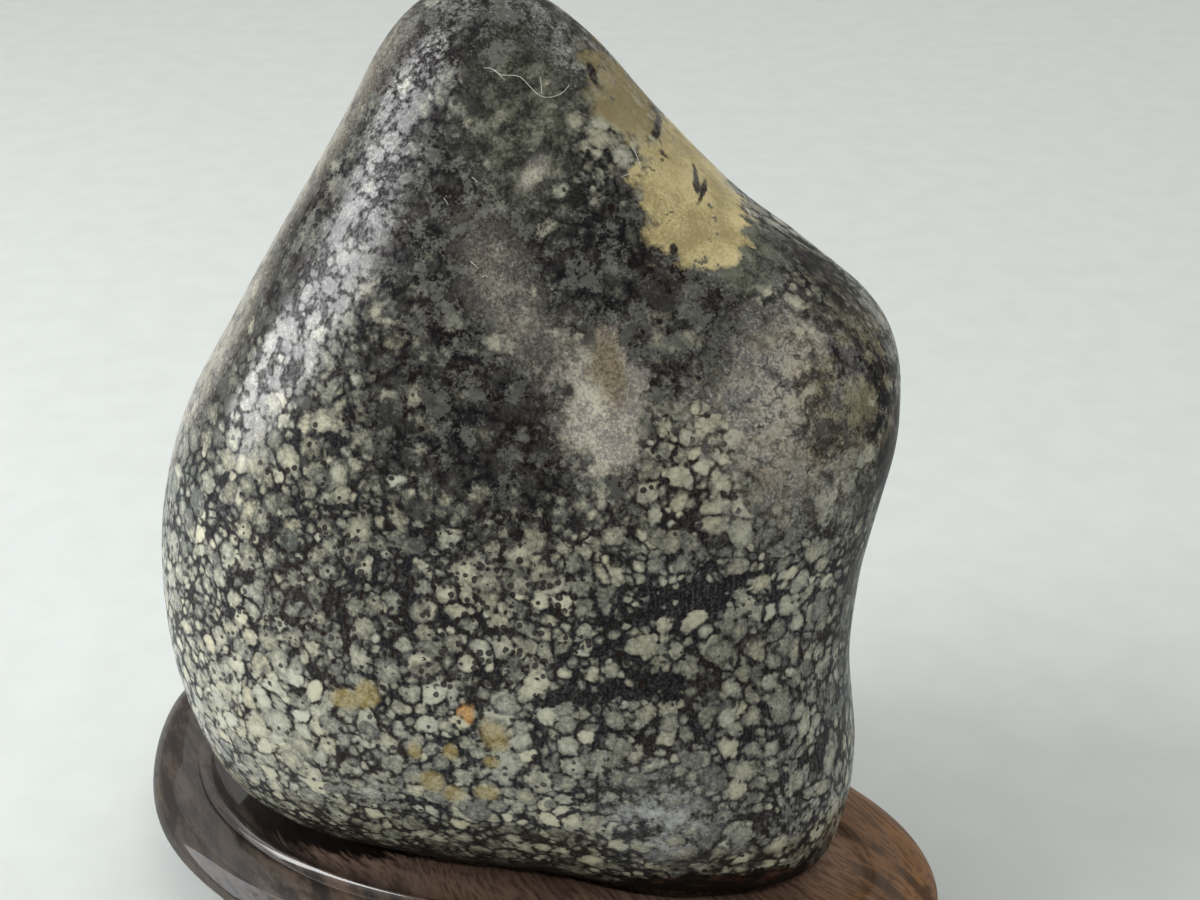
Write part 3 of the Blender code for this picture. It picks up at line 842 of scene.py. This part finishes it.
def weathered_and_painted_light_colour(web, ink, noises, masks, cloud, colour):
    """Stained spots, clouds, hazy and unpolished places, a painted reflection along the left rim and painted
    shade on edges that turn away, laid over the spots.
    """
    grain, rough, fleck = noises.grain, noises.rough, noises.fleck
    flecked = web.span(fleck, 0.2, 0.55, 0.65, 1)
    lit = web.span(grain, 0.3, 0.6, 0.4, 1)
    murk_dark = web.blend(web.span(noises.drift, 0.47, 0.58), ink.murk_dark, ink.murk_warm)
    dusty = web.blend(web.span(noises.powder, 0.34, 0.66), ink.pink_grey, ink.beige)
    patchy = web.weigh(rough, 0.9, noises.patchy)
    boss_and_rim_reflection = web.blend(web.span(patchy, 0.42, 0.6), ink.slate, ink.taupe)
    boss_and_rim_reflection = web.blend(web.span(noises.powder, 0.34, 0.68, 0, 0.85), boss_and_rim_reflection, ink.beige)
    blotch = web.span(web.weigh(rough, 1.2, noises.blotch), 0.4, 0.62)
    vein = web.times(web.crease(noises.veins, 0.004, 0.03, 0.6), masks["grey shoulder"])
    for share, over in (
            (web.times(masks["yellow"], 0.75), web.blend(lit, ink.ochre_dark, ink.yellow)),
            (web.times(masks["orange"], 0.9), web.blend(lit, ink.ochre_dark, ink.orange)),
            (web.times(cloud, 0.6), web.blend(web.span(fleck, 0.5, 0.66), murk_dark, ink.murk_light)),
            (web.most(web.times(masks["green crown"], 0.6), masks["green end"]),
             web.blend(web.span(fleck, 0.28, 0.72), ink.green_dark, ink.green)),
            (web.times(masks["grey shoulder"], flecked), boss_and_rim_reflection),
            (web.times(masks["pale streak"], flecked, 0.32), dusty),
            (web.times(masks["thumb dimple"], 0.85), dusty),
            (web.times(masks["pale scuff"], 0.6), dusty),
            # Painted reflection along the left rim, in the grey shoulder's colours
            (web.times(masks["painted rim reflection"], flecked, 0.6), boss_and_rim_reflection),
            (web.times(masks["ochre shadow"], 0.8),
             web.blend(web.span(grain, 0.25, 0.65), ink.ochre_dark, ink.ochre)),
            (web.times(masks["olive shoulder"], 0.75),
             web.blend(web.span(fleck, 0.36, 0.7), ink.ochre_dark, ink.olive)),
            (web.times(masks["brown rim"], 0.9), web.blend(web.span(fleck, 0.42, 0.7), murk_dark, ink.ochre)),
            # Painted shade: dark of the clouds laid on edges that turn away
            (web.times(masks["painted edge shade"], 0.7), murk_dark),
            (web.most(web.times(masks["dark blot"], 0.8), vein), murk_dark),
            (web.times(masks["white bloom"], web.between(blotch, 0.2, 0.85)),
             web.blend(web.span(fleck, 0.3, 0.66), ink.haze, ink.white))):
        colour = web.blend(share, colour, over)
    return colour


def stone_material(look):
    """Polished dark stone full of pale grained spots, with its clouded, cream, beige and rusty places."""
    material, web, shader = new_material("polished spotted stone")
    ink = inks(look)
    noises = stone_noises(web)
    grain, rough = noises.grain, noises.rough
    masks = stone_masks(web, noises.place, rough)
    right, _, up = web.parts(noises.place)

    # Clouds that dim and blur the spots: named patches, and drifting ones that thicken up the face
    upper = web.times(web.span(up, 54, 80), web.span(right, -33, -17, 0.2, 1))
    drifting = web.times(web.span(noises.broad, 0.38, 0.62), web.between(upper, 0.1, 0.8))
    cloud = web.times(web.most(masks["cloud"], drifting), web.between(masks["clear spots"], 1, 0.2))
    colour, solid = spotted_colour(web, look, ink, noises, masks, cloud)
    colour = weathered_and_painted_light_colour(web, ink, noises, masks, cloud, colour)

    # Cream patch with its dark freckles
    cream_mask = web.most(masks["cream"], web.times(masks["cream tongue"], 0.7))
    tone = web.weigh(web.off_middle(grain), 0.9, noises.drift)
    cream = web.blend(web.span(tone, 0.28, 0.66), ink.cream_dark, ink.cream)
    cream = web.blend(web.span(up, 98, 107), cream, ink.cream_dark)
    freckled = web.most(web.span(rough, 0.12, 0.17), masks["mark in the cream"])
    cream_mask = web.times(cream_mask, web.span(freckled, 0, 1, 1, 0.15))
    colour = web.blend(cream_mask, colour, cream)
    colour = web.blend(web.times(masks["mark in the cream"], 0.8), colour, ink.murk_warm)

    # Rusty chipped edge, and grime with painted shade where the stone faces down to its stand: darker where the
    # surface faces down
    rusty = masks["rusty edge"]
    rust = web.blend(web.span(noises.fleck, 0.48, 0.8), ink.rust_dark, ink.rust)
    ledge = web.crease(noises.ledges, 0, 0.04, 0.3)
    rust = web.blend(web.times(ledge, web.span(grain, 0.4, 0.6)), rust, ink.green)
    colour = web.blend(rusty, colour, rust)
    facing_up = web.parts(web.add("ShaderNodeTexCoord").outputs["Normal"])[2]
    # Grime and painted shade: the dark rust colour is laid where the surface faces down, low on the stone
    grime_and_painted_shade = web.span(web.weigh(rough, 0.5, facing_up), -0.62, -0.4, 1, 0)
    grime_and_painted_shade = web.times(grime_and_painted_shade, web.span(up, 24, 30, 1, 0))
    colour = web.blend(web.times(grime_and_painted_shade, 0.92), colour, ink.rust_dark)

    # Gloss: the spots take a better polish than the lines between them, and some places took none
    dull = web.most(masks["thumb dimple"], rusty, grime_and_painted_shade, web.times(masks["grey shoulder"], 0.4),
                    web.times(cream_mask, 0.3))
    gloss = web.maths("ADD", web.span(grain, 0.35, 0.65, 0.1, 0.2), look.roughness)
    polished = masks["polished ridge"]
    uneven = web.weigh(web.off_middle(noises.streaks), 3, web.times(web.off_middle(grain), 2.4))
    mirror = web.weigh(uneven, web.between(polished, 1, 0.5), solid)
    # Places with less gloss: rust, grime, the dim right rim, and the edges with painted shade
    soiled_and_shaded = web.most(rusty, grime_and_painted_shade, masks["painted edge shade"], web.times(masks["dim right"], 0.6))
    for mask, share in ((cloud, -0.42), (polished, 0.28), (soiled_and_shaded, -1.5), (dull, -0.8)):
        mirror = web.weigh(mask, share, mirror)
    web.fill(shader, {
        "Base Color": colour, "Roughness": web.between(dull, gloss, 0.62), "Specular IOR Level": 0.06,
        "Coat Weight": web.span(mirror, -0.3, 1.4), "Coat IOR": 1.76, "Coat Roughness": look.roughness,
        "Normal": web.bump(grain, 0.2, 0.05)})
    return material


def wood_material(look):
    """Dark reddish-brown wood with drifting bands, fine pores, a glossy lacquer and painted shade in its
    recess.
    """
    material, web, shader = new_material("dark lacquered wood")
    ink = inks(look)
    place = place_in_mm(web)
    right, _, up = web.parts(place)
    grain = web.turned(place, -math.radians(GRAIN_BEARING), "Z_AXIS")
    grain = web.vector("ADD", grain, web.shift(place, 26, 9))
    drawn = web.stretched(grain, 0.07, 1, 1)
    bands = web.noise(drawn, 3.4, 3, 0.6)
    thin = web.noise(drawn, 0.5, 3, 0.65)
    mottling = web.noise(web.stretched(grain, 0.3, 1, 1), 2.2, 4, 0.65)

    # Figure: warmer to the right, worn and grey to the left
    light = web.blend(web.span(right, 20, 45), ink.light, ink.warm)
    dark = web.blend(web.span(right, 20, 40, 0, 0.3), ink.dark, light)
    wood = web.blend(web.span(bands, 0.42, 0.52), dark, light)
    wood = web.blend(web.span(thin, 0.4, 0.52, 0.75, 0), wood, dark)
    worn = web.blend(web.span(mottling, 0.4, 0.62), ink.grey, ink.worn)
    wood = web.blend(web.span(right, -34, 30, 0.9, 0), wood, worn)

    # Pores, in about a third of their cells
    away, chances = web.cells(web.stretched(grain, 0.3, 2.6, 2.6), 1)
    pore = web.times(web.span(away, 0.12, 0.3, 1, 0), web.maths("LESS_THAN", web.parts(chances)[0], 0.35))
    wood = web.blend(web.times(pore, 0.3), wood, ink.pore)

    # Bare recess, with painted shade that spreads from the stone, farthest at the left, where the stone shades
    # it
    recess = web.add("ShaderNodeAttribute", attribute_name="recess").outputs["Fac"]
    wood = web.blend(web.times(recess, web.span(thin, 0.35, 0.6, 0.3, 0.85)), wood, ink.recess)
    reach = web.span(web.weigh(thin, 16, right), -28, 4, 0, 1.3)
    stain = web.span(web.maths("SUBTRACT", web.weigh(bands, 0.3, recess), reach), 0, 0.3)
    wood = web.blend(web.times(stain, 0.96), wood, ink.stain)

    # Lacquer, thickest on the lip and on the painted shade of the recess
    glazed = web.most(web.span(up, *LACQUERED_LIP), web.times(stain, 0.35))
    grooves = web.maths("SUBTRACT", web.times(thin, 0.4), pore)
    web.fill(shader, {
        "Base Color": wood, "Roughness": web.maths("ADD", web.span(thin, 0.3, 0.7, 0, 0.12), look.roughness),
        "Coat Weight": web.between(glazed, 0.07, 1), "Coat Roughness": 0.04, "Coat IOR": 1.8,
        "Specular IOR Level": 0.2, "Normal": web.bump(grooves, 0.25, 0.04)})
    return material


def plain_material(name, colour, roughness):
    """A Principled material of one colour with a trace of unevenness."""
    material, web, shader = new_material(name)
    fine = web.noise(place_in_mm(web), 9, 3)
    darker = tuple(0.96 * share for share in colour)
    web.fill(shader, {"Base Color": web.blend(web.span(fine, 0.3, 0.7), darker, tuple(colour)),
                      "Roughness": roughness})
    return material


def colour_property(name, description, default):
    """A linear colour that the user can change."""
    return bpy.props.FloatVectorProperty(name=name, description=description, default=default, size=3,
                                         subtype="COLOR", min=0.0, max=1.0)


class StoneLook(bpy.types.PropertyGroup):
    """Sizes and colours of the stone."""

    spot_size: bpy.props.FloatProperty(name="Spot size", description="Spacing of the largest spots",
                                       default=SPOT_UNIT * MM, unit="LENGTH", subtype="DISTANCE")
    roughness: bpy.props.FloatProperty(name="Roughness", description="Roughness of the polished surface",
                                       default=0.23, min=0.0, max=1.0, subtype="FACTOR")
    spot_colour: colour_property("Spots", "Pale grey of most spots", (0.64, 0.65, 0.51))
    spot_cream_colour: colour_property("Cream spots", "Warmer colour of some spots", (0.74, 0.69, 0.48))
    spot_dim_colour: colour_property("Dim spots", "Darkest colour of the spots", (0.06, 0.062, 0.052))
    matrix_colour: colour_property("Matrix", "Charcoal between the spots", (0.011, 0.011, 0.013))
    matrix_warm_colour: colour_property("Warm matrix", "Purple brown between the spots", (0.02, 0.012, 0.011))
    haze_colour: colour_property("Haze", "Fine grey in the matrix", (0.085, 0.085, 0.08))
    dot_colour: colour_property("Dots", "Dark dots between the spots", (0.02, 0.013, 0.011))
    # Dark of the clouded parts, and also the painted shade on edges that turn away
    murk_and_shade_dark_colour: colour_property("Cloud dark", "Dark of the clouded parts", (0.006, 0.006, 0.008))
    murk_warm_colour: colour_property("Warm cloud", "Purple dark of the clouded parts", (0.014, 0.006, 0.008))
    murk_light_colour: colour_property("Cloud light", "Light of the clouded parts", (0.185, 0.187, 0.165))
    green_colour: colour_property("Green", "Green of the crown", (0.19, 0.2, 0.14))
    green_dark_colour: colour_property("Dark green", "Dark in the green crown", (0.028, 0.031, 0.024))
    cream_colour: colour_property("Cream", "Cream patch", (0.78, 0.65, 0.34))
    cream_dark_colour: colour_property("Dark cream", "Shaded part of the cream patch", (0.43, 0.35, 0.17))
    beige_colour: colour_property("Beige", "Unpolished hollow", (0.7, 0.64, 0.51))
    pink_grey_colour: colour_property("Pink grey", "Hazy places", (0.27, 0.24, 0.225))
    slate_colour: colour_property("Slate", "Cooler grey of the shoulder", (0.21, 0.207, 0.2))
    taupe_colour: colour_property("Taupe", "Warmer grey of the shoulder", (0.32, 0.27, 0.215))
    ochre_colour: colour_property("Ochre", "Shadow in the hollow", (0.26, 0.21, 0.12))
    olive_colour: colour_property("Olive", "Olive of the shoulder's edge", (0.3, 0.27, 0.16))
    ochre_dark_colour: colour_property("Dark ochre", "Dark of the ochre places", (0.035, 0.027, 0.014))
    white_colour: colour_property("White", "Pale bloom near the foot", (0.58, 0.585, 0.59))
    yellow_colour: colour_property("Yellow", "Yellow stained spots", (0.5, 0.39, 0.15))
    orange_colour: colour_property("Orange", "Orange stained spots", (0.75, 0.38, 0.1))
    rust_colour: colour_property("Rust", "Chipped lower edge", (0.07, 0.024, 0.016))
    # Dark of the chipped edge, and also the painted shade where the stone faces down to its stand
    rust_and_shade_dark_colour: colour_property("Dark rust", "Dark of the chipped edge", (0.009, 0.007, 0.006))


class StandLook(bpy.types.PropertyGroup):
    """Sizes and colours of the stand."""

    roughness: bpy.props.FloatProperty(name="Roughness", description="Roughness of the wood under the lacquer",
                                       default=0.45, min=0.0, max=1.0, subtype="FACTOR")
    dark_colour: colour_property("Dark wood", "Dark bands of the wood", (0.022, 0.012, 0.008))
    light_colour: colour_property("Light wood", "Light bands of the wood", (0.2, 0.098, 0.05))
    grey_colour: colour_property("Grey wood", "Dark of the worn wood at the left", (0.03, 0.025, 0.022))
    worn_colour: colour_property("Worn wood", "Light of the worn wood at the left", (0.125, 0.095, 0.074))
    warm_colour: colour_property("Warm wood", "Orange brown wood at the right", (0.31, 0.155, 0.068))
    recess_colour: colour_property("Recess", "Bare wood of the recess", (0.66, 0.43, 0.32))
    pore_colour: colour_property("Pores", "Filled pores", (0.22, 0.16, 0.12))
    # Painted shade of the recess, laid where the stone shades it
    painted_recess_shade_colour: colour_property("Stain", "Dark stain of the recess", (0.006, 0.004, 0.004))


class LintLook(bpy.types.PropertyGroup):
    """Colour of the lint."""

    colour: colour_property("Lint", "Colour of the hairs", (0.7, 0.69, 0.64))


class StudioLook(bpy.types.PropertyGroup):
    """The floor, lights and camera."""

    floor_colour: colour_property("Floor", "Pale floor", (0.715, 0.745, 0.725))
    key_power: bpy.props.FloatProperty(name="Key light", description="Power of the tall soft light at the left",
                                       default=2.8, min=0.0, unit="POWER")
    top_power: bpy.props.FloatProperty(name="Top light", description="Power of the wide light overhead",
                                       default=15.0, min=0.0, unit="POWER")
    fill_power: bpy.props.FloatProperty(name="Fill light", description="Power of the weak light at the right",
                                        default=0.25, min=0.0, unit="POWER")
    lens: bpy.props.FloatProperty(name="Lens", description="Focal length of the camera", default=54.0,
                                  unit="CAMERA")


class BuildStep:
    """What the operators share."""

    bl_options = {"REGISTER", "UNDO"}

    @classmethod
    def poll(cls, context):
        return context.scene is not None


class OBJECT_OT_viewing_stone(BuildStep, bpy.types.Operator):
    """Builds the polished stone in place of its plain solid"""

    bl_idname = "object.viewing_stone_build"
    bl_label = "Build Stone"

    def execute(self, context):
        places, quads = stone_shape()
        stone = new_piece("spotted_stone", places, quads.tolist())
        stone.data.materials.append(stone_material(context.scene.stone_look))
        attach(stone, "root")
        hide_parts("stone")
        return {"FINISHED"}


class OBJECT_OT_viewing_stone_stand(BuildStep, bpy.types.Operator):
    """Builds the carved wooden stand in place of its plain solid"""

    bl_idname = "object.viewing_stone_stand_build"
    bl_label = "Build Stand"

    def execute(self, context):
        stone = bpy.data.objects["spotted_stone"]
        flat = np.empty(len(stone.data.vertices) * 3)
        stone.data.vertices.foreach_get("co", flat)
        places, faces, recess = stand_shape(flat.reshape(-1, 3) / MM)
        stand = new_piece("carved_stand", places, faces)
        stand.data.attributes.new("recess", "FLOAT", "POINT").data.foreach_set("value", recess)
        stand.data.materials.append(wood_material(context.scene.stand_look))
        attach(stand, "root")
        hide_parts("stand")
        return {"FINISHED"}


class OBJECT_OT_viewing_stone_lint(BuildStep, bpy.types.Operator):
    """Lays a few hairs of lint on the stone's crown"""

    bl_idname = "object.viewing_stone_lint_build"
    bl_label = "Build Lint"

    def execute(self, context):
        places, faces = lint_shape()
        lint = new_piece("lint", places, faces)
        lint.data.materials.append(plain_material("white lint", context.scene.lint_look.colour, 0.7))
        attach(lint, "root")
        return {"FINISHED"}


class SCENE_OT_viewing_stone_studio(BuildStep, bpy.types.Operator):
    """Lays the pale floor and sets the lights and the camera"""

    bl_idname = "scene.viewing_stone_studio"
    bl_label = "Set Up Studio"

    def execute(self, context):
        look = context.scene.studio_look
        scene = context.scene
        reach = FLOOR_REACH
        corners = [(-reach, -reach, 0), (reach, -reach, 0), (reach, reach, 0), (-reach, reach, 0)]
        floor = new_piece("floor", np.array(corners, dtype=float), [(0, 1, 2, 3)])
        floor.data.materials.append(plain_material("pale floor", look.floor_colour, 0.6))
        for name, (spot, size, colour, roll) in LIGHTS.items():
            lamp = bpy.data.lights.new(name, "AREA")
            lamp.shape = "RECTANGLE"
            lamp.size, lamp.size_y = (length * MM for length in size)
            lamp.energy = getattr(look, name + "_power")
            lamp.color = colour
            light = bpy.data.objects.new(name + " light", lamp)
            light.location = Vector(spot) * MM
            aim = (Vector(LIGHT_TARGET) * MM - light.location).to_track_quat("-Z", "Y")
            light.rotation_euler = (aim @ Quaternion((0.0, 0.0, 1.0), math.radians(roll))).to_euler()
            scene.collection.objects.link(light)
        world = bpy.data.worlds.new("studio air")
        world.use_nodes = True
        Web(world.node_tree).fill(world.node_tree.nodes["Background"],
                                  {"Color": AIR_COLOUR, "Strength": AIR_STRENGTH})
        scene.world = world
        pitch = math.radians(CAMERA_PITCH)
        ahead = Vector((0.0, math.cos(pitch), -math.sin(pitch)))
        eye = bpy.data.cameras.new("camera")
        eye.lens = look.lens
        eye.sensor_width = 36.0
        eye.clip_start = 10 * MM
        camera = bpy.data.objects.new("camera", eye)
        camera.location = (Vector(CAMERA_TARGET) - ahead * CAMERA_DISTANCE) * MM
        camera.rotation_euler = ahead.to_track_quat("-Z", "Y").to_euler()
        scene.collection.objects.link(camera)
        scene.camera = camera
        scene.view_settings.view_transform = "Standard"
        return {"FINISHED"}


class VIEW3D_PT_viewing_stone(bpy.types.Panel):
    """Lists the stone's settings and build steps"""

    bl_label = "Viewing Stone"
    bl_space_type = "VIEW_3D"
    bl_region_type = "UI"
    bl_category = "Viewing Stone"

    def draw(self, context):
        for step, group in zip(STEPS, SETTINGS):
            box = self.layout.box()
            box.operator(step.bl_idname)
            look = getattr(context.scene, group)
            for name in look.bl_rna.properties.keys():
                if name not in ("rna_type", "name"):
                    box.prop(look, name)


SETTINGS = {"stone_look": StoneLook, "stand_look": StandLook, "lint_look": LintLook,
            "studio_look": StudioLook}
STEPS = (OBJECT_OT_viewing_stone, OBJECT_OT_viewing_stone_stand, OBJECT_OT_viewing_stone_lint,
         SCENE_OT_viewing_stone_studio)
CLASSES = (*SETTINGS.values(), *STEPS, VIEW3D_PT_viewing_stone)


def register():
    """Makes the classes known to Blender and hangs their settings on the scene."""
    for made in CLASSES:
        bpy.utils.register_class(made)
    for name, settings in SETTINGS.items():
        setattr(bpy.types.Scene, name, bpy.props.PointerProperty(type=settings))


def unregister():
    """Takes the settings and classes away again."""
    for name in SETTINGS:
        delattr(bpy.types.Scene, name)
    for made in reversed(CLASSES):
        bpy.utils.unregister_class(made)


def main():
    """Builds every piece and the studio."""
    register()
    bpy.ops.object.viewing_stone_build()
    bpy.ops.object.viewing_stone_stand_build()
    bpy.ops.object.viewing_stone_lint_build()
    bpy.ops.scene.viewing_stone_studio()


if __name__ == "__main__":
    main()
